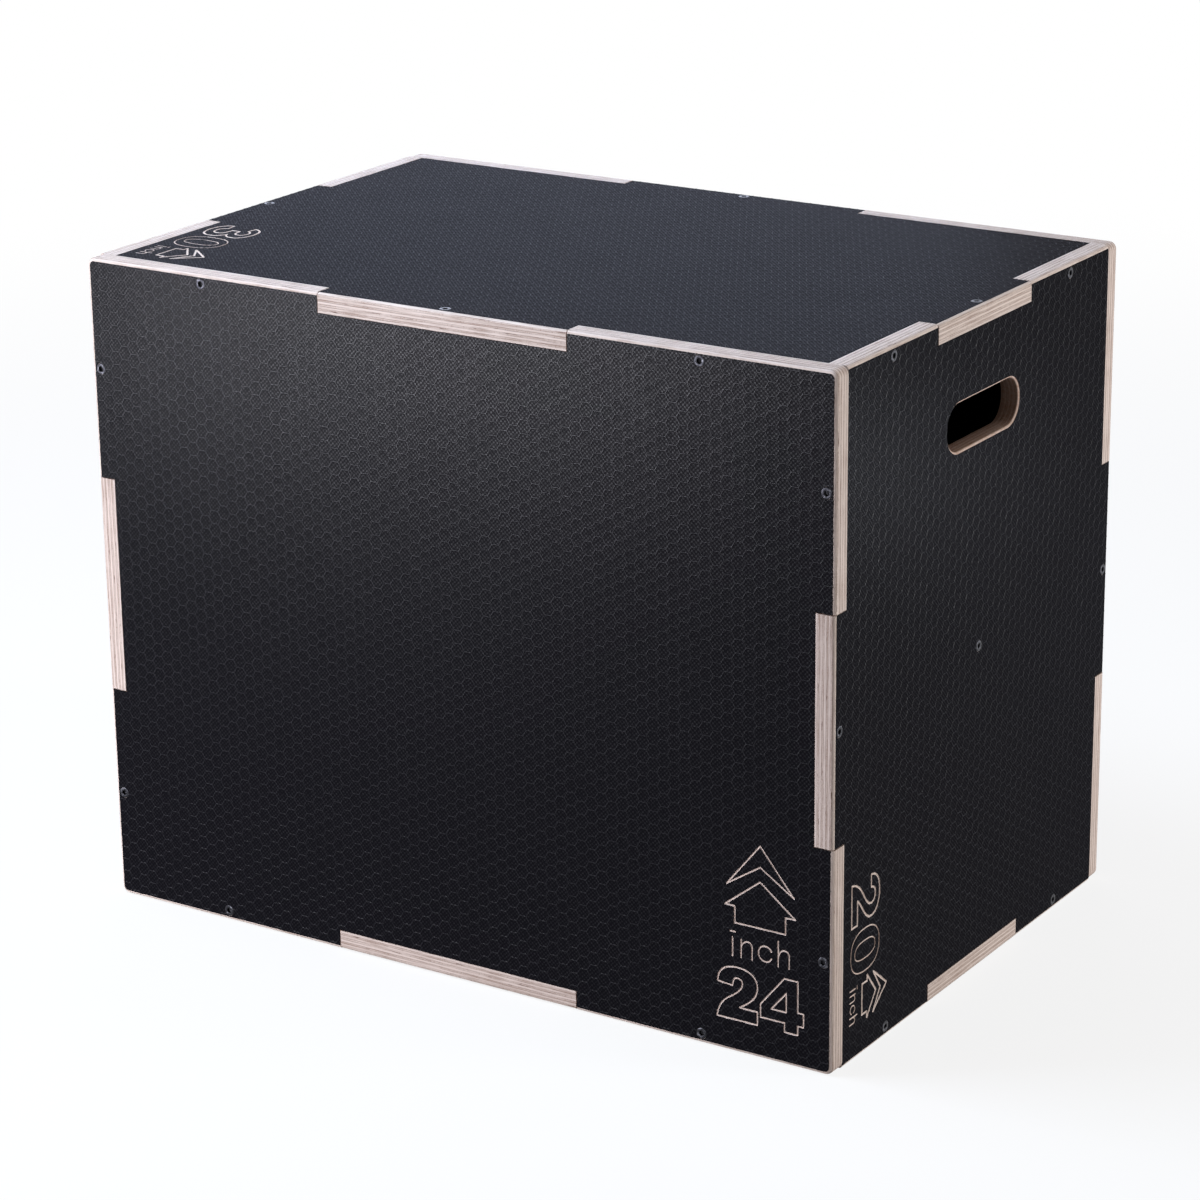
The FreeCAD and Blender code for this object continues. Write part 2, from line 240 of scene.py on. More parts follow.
def honeycombSheet(halfAcross, halfUp):
    # centres on a lattice of columns 1.5 radii apart, every other column half a hexagon higher; a ring's
    # corners are at the hexagon's radius less its inset, and meeting corners are shared
    flats = honeycomb["flats"]
    radius = flats / math.sqrt(3)
    columns = math.ceil(halfAcross / (1.5 * radius)) + 1
    rows = math.ceil(halfUp / flats) + 1
    column, row = np.meshgrid(np.arange(-columns, columns + 1), np.arange(-rows, rows + 1), indexing="ij")
    centres = np.stack([1.5 * radius * column, flats * (row + 0.5 * (column % 2))], -1).reshape(-1, 2)
    angles = np.radians(np.arange(0, 360, 60))
    way = np.stack([np.cos(angles), np.sin(angles)], 1)

    def ringPoints(inset, out):
        flat = centres[:, None] + way * (flats / 2 - inset) / math.cos(math.pi / 6)
        return np.concatenate([flat, np.full(flat.shape[:2] + (1,), out)], 2)

    crest = ringPoints(*honeycomb["rings"][0]).reshape(-1, 3)
    shared, number = np.unique(np.round(crest, 3), axis=0, return_inverse=True)
    number = number.reshape(-1, 6)
    levels = honeycomb["rings"][1:]
    points = [shared] + [ringPoints(*level).reshape(-1, 3) for level in levels]
    ringNumbers = [number]
    for step in range(len(levels)):
        ringNumbers.append(len(shared) + np.arange(number.size).reshape(-1, 6) + step * number.size)
    middles = len(shared) + len(levels) * number.size + np.arange(len(centres))
    points.append(atHeight(centres, honeycomb["dish"]))
    floors = ringNumbers[-1]
    fans = np.stack([floors, np.roll(floors, -1, 1), np.repeat(middles[:, None], 6, 1)], 2)
    faces = fans.reshape(-1, 3).tolist()
    for outer, inner in zip(ringNumbers[:-1], ringNumbers[1:]):
        quads = np.stack([outer, np.roll(outer, -1, 1), np.roll(inner, -1, 1), inner], 2)
        faces += quads.reshape(-1, 4).tolist()

    # the underside repeats the meeting lines, and walls close the ragged rim
    below = int(middles[-1]) + 1
    points.append(shared * [1, 1, 0] + [0, 0, honeycomb["under"]])
    faces += (number[:, ::-1] + below).tolist()
    edges = np.stack([number, np.roll(number, -1, 1)], 2).reshape(-1, 2)
    _, index, count = np.unique(np.sort(edges, 1), axis=0, return_index=True, return_counts=True)
    rim = edges[index[count == 1]]
    faces += np.stack([rim[:, 1], rim[:, 0], rim[:, 0] + below, rim[:, 1] + below], 1).tolist()
    return np.concatenate(points), faces


# Hand hole in the two ends, rounded over outside and inside
handHole = {
    "length": 130.0,
    "height": 42.0,
    "corner": 20.0,
    "round": 1.8,  # radius of both rims
    "drop": 98.0,  # from the top of the box to the middle of the hole
    "cornerSteps": 12,
}


def handHoleRing(margin, out):
    # a rectangle with round corners: four quarter circles about the corners' centres
    radius = handHole["corner"] + margin
    reach = np.array([handHole["length"], handHole["height"]]) / 2 - handHole["corner"]
    steps = handHole["cornerSteps"]
    angles = (np.arange(4)[:, None] * math.pi / 2 + np.linspace(0, math.pi / 2, steps)).ravel()
    signs = np.repeat([[1, 1], [-1, 1], [-1, -1], [1, -1]], steps, axis=0)
    flat = signs * reach + radius * np.stack([np.cos(angles), np.sin(angles)], 1)
    return atHeight(flat + [0, halfHeight - handHole["drop"]], out)


def handHoleTool():
    # straight in the middle, flared by a quarter circle towards each face, and on past both
    radius, past = handHole["round"], boards["past"]
    inner, outer = -boards["thickness"], -boards["film"]
    angles = np.linspace(0, math.pi / 2, boards["roundSteps"])
    flare = [(radius * (1 - math.sin(a)), radius * (1 - math.cos(a))) for a in angles]
    lower = [(radius, inner - past)] + [(wide, inner + deep) for deep, wide in flare[::-1]]
    upper = [(wide, outer - deep) for deep, wide in flare] + [(radius, past)]
    return stack([handHoleRing(wide, out) for wide, out in lower + upper])


# Screws: countersunk, with a six-sided socket and a thread that stays hidden in the wood
screws = {
    "head": 5.0,  # radius
    "sink": 0.15,  # head below the crests of the film
    "rim": 0.5,  # straight edge of the head, above its cone
    "headEdge": [(0.0, 0.22), (0.07, 0.08), (0.25, 0.0)],  # in from the head's side, and down from its top
    "socketFlats": 4.4,
    "socketDepth": 2.8,
    "socketEdge": [(0.35, 0.0), (0.08, 0.1), (0.0, 0.3)],  # out from the socket's sides, and down
    "socketTip": (0.12, 0.9),  # share of the socket's width, and how much deeper
    "shank": 2.6,  # radius without the thread
    "threadDepth": 0.4,
    "pitch": 3.2,
    "ringsPerTurn": 4,  # of the thread
    "length": 50.0,
    "point": 5.0,  # length of the tapered end
    "pointShare": 0.08,  # of the thread's radius, at the very end
    "turns": 36,  # points round the head
    "seat": 0.2,  # room round the head in its countersink
    "room": 0.1,  # round the thread in its bore
}
halfBoard = boards["thickness"] / 2
edgeX, edgeY, edgeZ = halfWidth - halfBoard, halfDepth - halfBoard, halfHeight - halfBoard
screwPlaces = {
    "wall": [((fingerX + halfWidth) / 2, edgeZ), (edgeX, (fingerZ + halfHeight) / 2)],
    "end": [((fingerY + halfDepth - boards["thickness"]) / 2, edgeZ), (edgeY, 0), (0, 0)],
    "lid": [(0, edgeY), (edgeX, 0)],
}


def placesOf(drawing):
    # each place and its mirror images, once
    return sorted({(a * x, b * y) for x, y in screwPlaces[drawing] for a in (1, -1) for b in (1, -1)})


def circle(radius, out, turns):
    # points at equal angles, one radius from the middle
    angles = np.linspace(0, 2 * math.pi, turns, endpoint=False)
    return atHeight(radius * np.stack([np.cos(angles), np.sin(angles)], 1), out)


def countersinkTool():
    # bore through the board, 45 degree cone for the head, straight on through the film
    wide = screws["head"] + screws["seat"]
    bore = screws["shank"] + screws["threadDepth"] + screws["room"]
    mouth = screws["seat"] - screws["sink"] - screws["rim"]
    past = boards["past"]
    rings = [(bore, -boards["thickness"] - past), (bore, mouth - wide + bore), (wide, mouth), (wide, past)]
    return stack([circle(radius, out, screws["turns"]) for radius, out in rings])


def screwSolid():
    # rings from the point up the thread, round the head and down into the socket; the thread's radius
    # rises and falls with the turn and the height, and the socket's is that of a regular hexagon
    turns = screws["turns"]
    angles = np.linspace(0, 2 * math.pi, turns, endpoint=False)
    head, top = screws["head"], -screws["sink"]
    neck = top - screws["rim"] - (head - screws["shank"])
    pitch = screws["pitch"]
    heights = np.arange(-screws["length"], neck - pitch, pitch / screws["ringsPerTurn"])
    wave = np.abs((angles / (2 * math.pi) - heights[:, None] / pitch) % 1.0 - 0.5) * 2
    taper = np.clip((heights + screws["length"]) / screws["point"], screws["pointShare"], 1)[:, None]
    threaded = (screws["shank"] + screws["threadDepth"] * wave) * taper
    six = screws["socketFlats"] / 2 / np.cos((angles + math.pi / 6) % (math.pi / 3) - math.pi / 6)
    plain = np.ones(turns)
    socketFloor = top - screws["socketDepth"]
    tipShare, tipDepth = screws["socketTip"]
    profile = list(zip(threaded, heights))
    profile += [(screws["shank"] * plain, neck), (head * plain, top - screws["rim"])]
    profile += [((head - inward) * plain, top - down) for inward, down in screws["headEdge"]]
    profile += [(six + outward, top - down) for outward, down in screws["socketEdge"]]
    profile += [(six, socketFloor), (six * tipShare, socketFloor - tipDepth)]
    way = np.stack([np.cos(angles), np.sin(angles)], 1)
    return stack([atHeight(radius[:, None] * way, out) for radius, out in profile])


def repeated(solid, places):
    # a copy of the solid at each place, moved across and up
    points, faces = solid
    return joined([(points + [across, up, 0], faces) for across, up in places])


# Height marks, routed through the film as lines of even width. An outline starts at a point; a point after
# it is a straight line there, three points are a curve with two handles, and "turn" is a sharp corner.
boldTwo = [
    (0.5, 32.3), ((1, 43), (7.5, 48.5), (19.5, 48.5)), ((32, 48.5), (39.5, 43), (39.5, 34)),
    ((39.5, 24), (32.5, 19), (22, 12)), (39.5, 12), (39.5, 0), (0, 0),
    ((1, 8.5), (5, 15), (11.5, 19.5)), ((17.5, 23.5), (24.8, 28), (24.8, 34.5)),
    ((24.8, 37), (22.5, 38.6), (19.5, 38.6)), ((16.3, 38.6), (15.8, 34.5), (15, 31)), (0.5, 32.3),
]
boldFour = [
    (65.5, 48.8), (78.5, 48.8), (78.5, 20.5), (84, 20.5), (84, 8.3), (78.5, 8.3), (78.5, 0), (65.8, 0),
    (65.8, 8.3), (42.5, 8.3), (42.5, 20.5), (65.5, 48.8),
]
boldFourInside = [(53, 18.3), (67.3, 18.3), (67.3, 35.5), (53, 18.3)]
two = [
    (0.7, 33.3), ((1.2, 42.5), (8.2, 47.8), (19.2, 47.8)), ((31.2, 47.8), (38, 41.5), (38, 33)),
    ((38, 23), (23.2, 18), (16.7, 9.8)), (38.5, 9.8), (38.5, 0), (0, 0),
    ((1.2, 9), (6.7, 15), (14.2, 19.8)), ((21.2, 24.3), (26.5, 28.5), (26.5, 33.8)),
    ((26.5, 37.7), (23.2, 40.3), (18.7, 40.3)), ((14.7, 40.3), (12.7, 37.5), (12, 33.3)), (0.7, 33.3),
]
three = [
    (0.7, 36), ((2.7, 44), (9.7, 47.8), (19.2, 47.8)), ((30.7, 47.8), (37.5, 43), (37.5, 35.8)),
    ((37.5, 30), (34.2, 25.8), (28.7, 24.5)), "turn", ((35.2, 23.2), (39, 18.5), (39, 12.3)),
    ((39, 3.5), (31.5, -2.2), (19, -2.2)), ((8.2, -2.2), (1.2, 2.3), (-0.2, 10.3)), (10.5, 11.7),
    ((11.5, 7.5), (14.5, 5.3), (19.2, 5.3)), ((25, 5.3), (28.2, 8.3), (28.2, 12.5)),
    ((28.2, 17), (24.8, 19.5), (19, 19.5)), (14.5, 19.5), (14.5, 28.1),
    ((21.8, 27.9), (26.5, 30.3), (26.5, 34.8)), ((26.5, 38.5), (23.5, 40.8), (19, 40.8)),
    ((14.7, 40.8), (11.9, 38.7), (11, 34.9)), (0.7, 36),
]
arrowHouse = [(-24.5, 0), (24.5, 0), (24.5, 15), (34, 15.2), (0, 41.8), (-34, 15.2), (-24.5, 15), (-24.5, 0)]
arrowRoof = [(-32.5, 34), (0, 74), (32.5, 34), (0, 55), (-32.5, 34)]
unitStems = [
    [(2.2, 0), (2.2, 17)], [(0, 22.2), (4.8, 22.2)], [(10.5, 0), (10.5, 16.5)], [(46.5, 0), (46.5, 23)],
]
unitArches = [
    [(10.5, 8.5), ((11, 12.5), (13.5, 15.5), (17, 15.5)), ((20, 15.5), (21.2, 13.5), (21.2, 10.5)),
     ((21.2, 7), (21.2, 3.5), (21.2, 0))],
    [(46.5, 7.5), ((47, 12), (49.2, 15.5), (52.7, 15.5)), ((55.8, 15.5), (57.1, 13.5), (57.1, 10.5)),
     ((57.1, 7), (57.1, 3.5), (57.1, 0))],
    [(40, 11.7), ((39, 14), (36.8, 15.5), (34.2, 15.5)), ((30.3, 15.5), (27.4, 12.4), (27.4, 8.5)),
     ((27.4, 4.6), (30.3, 1.5), (34.2, 1.5)), ((36.8, 1.5), (39, 3), (40, 5.3))],
]
# middle, half sizes and power of each superellipse
zeroLoops = [((65.1, 23.4), (19.4, 24.4), 2.45), ((64.8, 23.3), (8.1, 17.3), 2.6)]

marks = {
    "width": 1.7,  # of a line on the front, at the face
    "widerCut": 2.3,  # on the top and the right end
    "smallWidth": 1.4,  # of the small unit
    "deep": -0.7,  # out of the face, at the bottom of a line
    "narrows": 0.3,  # share of the width at the bottom
    "capSteps": 6,
    "curveSteps": 9,
    "loopSteps": 72,
    "smallArrow": 0.575,  # share of the front's arrow and unit
    "smallUnit": 0.562,
}
# where an arrow and a unit start in their block, how large they are, and the unit's line
smallArrow = ((109.6, 19.0), marks["smallArrow"])
smallUnit = ((93.7, -2.0), marks["smallUnit"], marks["smallWidth"])
# where each block starts on its side, and which way its text runs there
markBlocks = {
    "front": {
        "corner": (269.5, 30.0 - halfHeight), "reading": (1, 0), "line": marks["width"],
        "digits": [boldTwo, boldFour, boldFourInside], "loops": [],
        "arrow": ((41.9, 89.0), 1.0), "unit": ((13.0, 58.5), 1.0, marks["width"]),
    },
    "right_end": {
        "corner": (-221.5, 160.2 - halfHeight), "reading": (0, -1), "line": marks["widerCut"],
        "digits": [two], "loops": zeroLoops, "arrow": smallArrow, "unit": smallUnit,
    },
    "top": {
        "corner": (-352.0, -92.3), "reading": (0, -1), "line": marks["widerCut"],
        "digits": [three], "loops": zeroLoops, "arrow": smallArrow, "unit": smallUnit,
    },
}


def strokesOf(outline):
    # straight steps are strokes of their own, and curves that follow one another make one stroke;
    # a curve is the cubic through its ends, pulled by its two handles
    t = np.linspace(0, 1, marks["curveSteps"] + 1)[1:, None]
    s = 1 - t
    strokes, run = [], [outline[0]]
    for step in outline[1:]:
        if step == "turn" or not isinstance(step[0], tuple):
            if len(run) > 1:
                strokes.append(run)
            if step == "turn":
                run = [run[-1]]
            else:
                strokes.append([run[-1], step])
                run = [step]
        else:
            start, (first, second, end) = np.array(run[-1]), np.array(step)
            bent = s ** 3 * start + 3 * t * s ** 2 * first + 3 * t ** 2 * s * second + t ** 3 * end
            run = run + [tuple(point) for point in bent]
    if len(run) > 1:
        strokes.append(run)
    return [np.array(stroke, float) for stroke in strokes]


def ways(path, closed=False):
    # unit vectors to the left of a path
    if closed:
        along = np.roll(path, -1, 0) - np.roll(path, 1, 0)
    else:
        along = np.gradient(path, axis=0)
    along /= np.linalg.norm(along, axis=1, keepdims=True)
    return np.stack([-along[:, 1], along[:, 0]], 1)


def strokeSolid(path, lineWidth):
    # the path's two sides, half a line away, closed by half circles; the groove narrows downwards
    left = ways(path)
    caps = np.linspace(0, math.pi, marks["capSteps"] + 2)[1:-1, None]
    endCap = -np.cos(caps) * left[-1] + np.sin(caps) * np.array([left[-1, 1], -left[-1, 0]])
    startCap = np.cos(caps) * left[0] + np.sin(caps) * np.array([-left[0, 1], left[0, 0]])
    last, first = [np.repeat(end, len(caps), 0) for end in (path[-1:], path[:1])]
    middle = np.concatenate([path, last, path[::-1], first])
    aside = np.concatenate([-left, endCap, left[::-1], startCap])
    levels = [(marks["deep"], marks["narrows"]), (0.0, 1.0), (boards["past"], 1.0)]
    return stack([atHeight(middle + aside * share * lineWidth / 2, out) for out, share in levels])


def loopSolid(middle, halfSizes, power, lineWidth):
    # a closed groove along a superellipse: its four rails are joined all the way round
    angles = np.linspace(0, 2 * math.pi, marks["loopSteps"], endpoint=False)
    way = np.stack([np.cos(angles), np.sin(angles)], 1)
    path = np.array(middle) + np.array(halfSizes) * np.sign(way) * np.abs(way) ** (2 / power)
    left = ways(path, True)
    past, deep, narrow = boards["past"], marks["deep"], marks["narrows"]
    rails = [(deep, narrow), (past, 1.0), (past, -1.0), (deep, -narrow)]
    rings = [atHeight(path + left * share * lineWidth / 2, out) for out, share in rails]
    count = len(path)
    numbers = np.arange(4 * count).reshape(4, count)
    faces = []
    for lower, upper in zip(numbers, np.roll(numbers, -1, 0)):
        faces += bandFaces(upper, lower)
    return np.concatenate(rings), faces


def markTools(block):
    # strokes that meet go into different groups, so that no group overlaps itself
    groups = [[], [], []]
    reading = np.array(block["reading"], float)
    rising = np.array([-reading[1], reading[0]])

    def placed(path, origin, scale):
        path = np.array(origin) + scale * path
        return np.array(block["corner"]) + path[:, :1] * reading + path[:, 1:] * rising

    def addOutline(outline, origin, scale):
        strokes = strokesOf(outline)
        for n, stroke in enumerate(strokes):
            # the last of an odd number meets the first one, so it goes into the third group
            closing = n == len(strokes) - 1 and n % 2 == 0 and n > 0
            groups[2 if closing else n % 2].append(strokeSolid(placed(stroke, origin, scale), block["line"]))

    for outline in block["digits"]:
        addOutline(outline, (0, 0), 1.0)
    for outline in (arrowHouse, arrowRoof):
        addOutline(outline, *block["arrow"])
    origin, scale, lineWidth = block["unit"]
    for group, letters in zip(groups, (unitStems, unitArches)):
        for letter in letters:
            path = np.concatenate(strokesOf(letter))
            group.append(strokeSolid(placed(path, origin, scale), lineWidth))
    for middle, halfSizes, power in block["loops"]:
        centre = placed(np.array([middle]), (0, 0), 1.0)[0]
        groups[0].append(loopSolid(centre, halfSizes[::-1], power, block["line"]))
    return [joined(group) for group in groups]


# Materials. Patterns are laid out in millimetres on each side's own flat drawing.
def addNode(tree, kind, **settings):
    node = tree.nodes.new(kind)
    for name, value in settings.items():
        setattr(node, name, value)
    return node


def feed(tree, socket, value):
    if isinstance(value, bpy.types.NodeSocket):
        tree.links.new(value, socket)
    else:
        socket.default_value = value


def sums(tree, operation, *values, clamp=False):
    node = addNode(tree, "ShaderNodeMath", operation=operation, use_clamp=clamp)
    for socket, value in zip(node.inputs, values):
        feed(tree, socket, value)
    return node.outputs[0]


def ramp(tree, value, low, high, start=0.0, end=1.0):
    node = addNode(tree, "ShaderNodeMapRange", interpolation_type="SMOOTHSTEP")
    given = {"Value": value, "From Min": low, "From Max": high, "To Min": start, "To Max": end}
    for name, amount in given.items():
        feed(tree, node.inputs[name], amount)
    return node.outputs["Result"]


def blended(tree, share, first, second):
    node = addNode(tree, "ShaderNodeMix", data_type="RGBA")
    for number, value in ((0, share), (6, first), (7, second)):  # the colour sockets of this node
        feed(tree, node.inputs[number], value)
    return node.outputs[2]


def cloud(tree, place, scale, detail, stretch=(1, 1, 1)):
    mapping = addNode(tree, "ShaderNodeMapping")
    mapping.inputs["Scale"].default_value = stretch
    tree.links.new(place, mapping.inputs["Vector"])
    node = addNode(tree, "ShaderNodeTexNoise")
    tree.links.new(mapping.outputs["Vector"], node.inputs["Vector"])
    node.inputs["Scale"].default_value = scale
    node.inputs["Detail"].default_value = detail
    return node.outputs["Fac"]


def leaning(tree, value, weight, onto):
    # a cloud's swing about its middle, added to another value
    return sums(tree, "MULTIPLY_ADD", sums(tree, "SUBTRACT", value, 0.5), weight, onto)


def colour(red, green, blue):
    # from the 0 to 255 of a picture to linear light
    share = np.array([red, green, blue]) / 255
    linear = np.where(share <= 0.04045, share / 12.92, ((share + 0.055) / 1.055) ** 2.4)
    return (*linear.tolist(), 1.0)


def newGroup(name, inputs, outputs):
    tree = bpy.data.node_groups.new(name, "ShaderNodeTree")
    for label, kind in inputs:
        tree.interface.new_socket(label, in_out="INPUT", socket_type=f"NodeSocket{kind}")
    for label, kind in outputs:
        tree.interface.new_socket(label, in_out="OUTPUT", socket_type=f"NodeSocket{kind}")
    start = addNode(tree, "NodeGroupInput")
    end = addNode(tree, "NodeGroupOutput")
    return tree, start.outputs, end.inputs


# Plywood: plies of two millimetres, by turns along and across the grain, with thin glue lines between.
# A cloud is a noise's scale, detail and stretch. A range is where on a cloud an effect starts and is full,
# and, where that isn't from none to all, how strong it is at both.
plywood = {
    "ply": 2.0,
    "wander": 0.8,  # how far the plies rise and fall
    "glue": 0.12,  # share of a ply
    "pale": colour(219, 201, 190),
    "dark": colour(156, 131, 117),
    "glueColour": colour(106, 80, 66),
    "voidColour": colour(88, 60, 44),
    "burnColour": colour(168, 112, 72),
    "burn": 0.5,  # share of that colour where the hand hole was routed
    "clouds": {
        "wander": (0.018, 2.0),
        "streak": (1.0, 4.0, (0.03, 0.03, 2.2)),
        "fibre": (1.0, 3.0, (0.25, 0.25, 7.0)),
        "patch": (0.05, 3.0),
        "pore": (0.9, 2.0),
        "gap": (1.0, 3.0, (0.05, 0.05, 0.9)),
        "glueSeen": (1.0, 3.0, (0.04, 0.04, 0.35)),
        "speck": (0.45, 4.0),
    },
    "ranges": {
        "pore": (0.55, 0.72),
        "gap": (0.64, 0.71),
        "glueSeen": (0.36, 0.62, 0.15, 0.95),
        "speck": (0.38, 0.62, 0.45, 1.0),
    },
    "darkens": {"crossed": 0.42, "tone": 0.2, "streak": 2.4, "fibre": 1.1, "patch": 0.6, "pore": 0.45},
    "height": {"fibre": 0.06, "streak": 0.08, "glue": 0.05},
    "roughness": 0.52,
    "darkRoughness": 0.18,  # added where the wood is dark
    "specular": 0.5,
    "relief": 0.6,
}


def plywoodGroup():
    tree, given, put = newGroup(
        "plywoodLayers",
        [("Flat", "Vector"), ("Depth", "Float"), ("Burn", "Float")],
        [("Color", "Color"), ("Roughness", "Float"), ("Height", "Float")],
    )
    clouds = {name: cloud(tree, given["Flat"], *facts) for name, facts in plywood["clouds"].items()}
    masks = {name: ramp(tree, clouds[name], *limits) for name, limits in plywood["ranges"].items()}
    darkens, high = plywood["darkens"], plywood["height"]
    deep = leaning(tree, clouds["wander"], plywood["wander"], given["Depth"])
    layer = sums(tree, "DIVIDE", deep, plywood["ply"])
    index = sums(tree, "FLOOR", layer)
    crossed = sums(tree, "MODULO", sums(tree, "ABSOLUTE", index), 2.0)
    fromMiddle = sums(tree, "ABSOLUTE", sums(tree, "SUBTRACT", sums(tree, "FRACT", layer), 0.5))
    glue = ramp(tree, fromMiddle, 0.5 - plywood["glue"], 0.5)
    tone = addNode(tree, "ShaderNodeTexWhiteNoise", noise_dimensions="1D")
    tree.links.new(index, tone.inputs["W"])
    shade = sums(tree, "MULTIPLY", tone.outputs["Value"], darkens["tone"])
    shade = sums(tree, "MULTIPLY_ADD", crossed, darkens["crossed"], shade)
    for name in ("streak", "fibre", "patch"):
        shade = leaning(tree, clouds[name], darkens[name], shade)
    pores = sums(tree, "MULTIPLY", masks["pore"], crossed)
    shade = sums(tree, "MULTIPLY_ADD", pores, darkens["pore"], shade, clamp=True)
    wood = blended(tree, shade, plywood["pale"], plywood["dark"])
    for mask, share, tint in (
        (glue, masks["glueSeen"], "glueColour"),
        (masks["gap"], crossed, "voidColour"),
        (masks["speck"], given["Burn"], "burnColour"),
    ):
        wood = blended(tree, sums(tree, "MULTIPLY", mask, share), wood, plywood[tint])
    tree.links.new(wood, put["Color"])
    rough = sums(tree, "MULTIPLY_ADD", shade, plywood["darkRoughness"], plywood["roughness"])
    tree.links.new(rough, put["Roughness"])
    relief = sums(tree, "MULTIPLY", clouds["streak"], high["streak"])
    relief = sums(tree, "MULTIPLY_ADD", clouds["fibre"], high["fibre"], relief)
    relief = sums(tree, "SUBTRACT", relief, sums(tree, "MULTIPLY", glue, high["glue"]))
    tree.links.new(relief, put["Height"])
    return tree


# Film: near-black resin with a fine crossed weave pressed into the floors; the crests are rubbed smoother,
# and paler in patches: partly wear, partly a painted highlight
filmLook = {
    "floor": colour(9, 8, 13),
    # paler colour of the crests: partly wear, partly a painted highlight on the ridges
    "crest": colour(18, 17, 24),
    "crestFrom": 0.06,  # below the face
    "thread": 2.8,  # from one thread of the weave to the next
    "threadRange": (-0.4, 0.8),  # of the weave
    "clouds": {"grain": (0.6, 3.0), "haze": (0.012, 3.0), "wear": (0.05, 4.0)},
    "wearRange": (0.3, 0.7, 0.6, 1.0),
    "fleckRange": (0.3, 0.65),  # of the grain, where the threads show
    "fleckColour": 0.45,  # shares of the crests' colour
    # how far the worn crests go towards that colour, which also paints a highlight on the ridges
    "rubbedAndHighlightColour": 0.7,
    "roughness": 0.82,
    "hazeRoughness": 0.14,
    "grainRoughness": 0.16,
    "shine": 0.025,
    "crestShine": 0.095,
    "threadShine": 0.112,
    "shineRoughness": 0.3,
    "shineIndex": 1.8,  # a high index under little shine keeps faces seen at a slant dark
    "specular": 0.01,
    "weaveHeight": 0.05,
    "grainHeight": 0.1,
    "relief": 0.8,
}


def filmGroup():
    # the weave is the mean of two sine waves, one rising and one falling at 45 degrees
    tree, given, put = newGroup(
        "filmSurface",
        [("Flat", "Vector"), ("Depth", "Float")],
        [("Color", "Color"), ("Roughness", "Float"), ("Shine", "Float"), ("Height", "Float")],
    )
    clouds = {name: cloud(tree, given["Flat"], *facts) for name, facts in filmLook["clouds"].items()}
    parts = addNode(tree, "ShaderNodeSeparateXYZ")
    tree.links.new(given["Flat"], parts.inputs[0])
    turnRate = 2 * math.pi / (filmLook["thread"] * math.sqrt(2))
    waves = []
    for operation in ("ADD", "SUBTRACT"):
        along = sums(tree, operation, parts.outputs[0], parts.outputs[1])
        waves.append(sums(tree, "SINE", sums(tree, "MULTIPLY", along, turnRate)))
    weave = sums(tree, "MULTIPLY", sums(tree, "ADD", *waves), 0.5)
    threads = ramp(tree, weave, *filmLook["threadRange"])
    crest = ramp(tree, given["Depth"], filmLook["crestFrom"], 0.0)
    rubbed = sums(tree, "MULTIPLY", crest, ramp(tree, clouds["wear"], *filmLook["wearRange"]))
    flecks = sums(tree, "MULTIPLY", threads, ramp(tree, clouds["grain"], *filmLook["fleckRange"]))
    # painted highlight: worn patches of the crests are made paler, partly as wear, partly standing in for the
    # light their slopes catch
    lighter = sums(tree, "MULTIPLY", rubbed, filmLook["rubbedAndHighlightColour"])
    lighter = sums(tree, "MULTIPLY_ADD", flecks, filmLook["fleckColour"], lighter, clamp=True)
    tree.links.new(blended(tree, lighter, filmLook["floor"], filmLook["crest"]), put["Color"])
    rough = leaning(tree, clouds["haze"], filmLook["hazeRoughness"], filmLook["roughness"])
    rough = leaning(tree, clouds["grain"], filmLook["grainRoughness"], rough)
    tree.links.new(rough, put["Roughness"])
    shine = sums(tree, "MULTIPLY_ADD", rubbed, filmLook["crestShine"], filmLook["shine"])
    tree.links.new(sums(tree, "MULTIPLY_ADD", flecks, filmLook["threadShine"], shine), put["Shine"])
    pressed = sums(tree, "MULTIPLY", sums(tree, "SUBTRACT", 1.0, crest), weave)
    relief = sums(tree, "MULTIPLY", clouds["grain"], filmLook["grainHeight"])
    relief = sums(tree, "MULTIPLY_ADD", pressed, filmLook["weaveHeight"], relief)
    tree.links.new(relief, put["Height"])
    return tree


# Scuffs: the hard dark skin of the screws and of the smooth inner film, rubbed paler in fine patches
scuffs = {
    "patch": (0.35, 4.0),
    "scratch": (1.0, 3.0, (0.25, 2.4, 0.25)),
    "scratchWeight": 0.6,
    "rubbedRange": (0.5, 0.8),
    "polishSwing": 0.25,
    "scratchHeight": 0.03,
    "relief": 1.0,
}
smoothLook = {
    "skin": colour(30, 27, 26),
    "rubbed": colour(52, 47, 44),
    "polish": 0.45,
    "specular": 0.3,
    "metallic": 0.0,
}
screwLook = {
    "skin": colour(36, 36, 40),
    "rubbed": colour(96, 96, 102),
    "polish": 0.38,
    "specular": 0.5,
    "metallic": 0.9,
}


def scuffGroup():
    tree, given, put = newGroup(
        "fineScuffs",
        [("Place", "Vector"), ("Skin", "Color"), ("Rubbed", "Color"), ("Polish", "Float")],
        [("Color", "Color"), ("Roughness", "Float"), ("Height", "Float")],
    )
    patch = cloud(tree, given["Place"], *scuffs["patch"])
    scratch = cloud(tree, given["Place"], *scuffs["scratch"])
    rubbed = ramp(tree, leaning(tree, scratch, scuffs["scratchWeight"], patch), *scuffs["rubbedRange"])
    tree.links.new(blended(tree, rubbed, given["Skin"], given["Rubbed"]), put["Color"])
    tree.links.new(leaning(tree, patch, scuffs["polishSwing"], given["Polish"]), put["Roughness"])
    tree.links.new(sums(tree, "MULTIPLY", scratch, scuffs["scratchHeight"]), put["Height"])
    return tree


def inMillimetres(tree):
    scaled = addNode(tree, "ShaderNodeVectorMath", operation="SCALE")
    tree.links.new(addNode(tree, "ShaderNodeTexCoord").outputs["Object"], scaled.inputs[0])
    scaled.inputs["Scale"].default_value = 1 / mm
    return scaled.outputs[0]


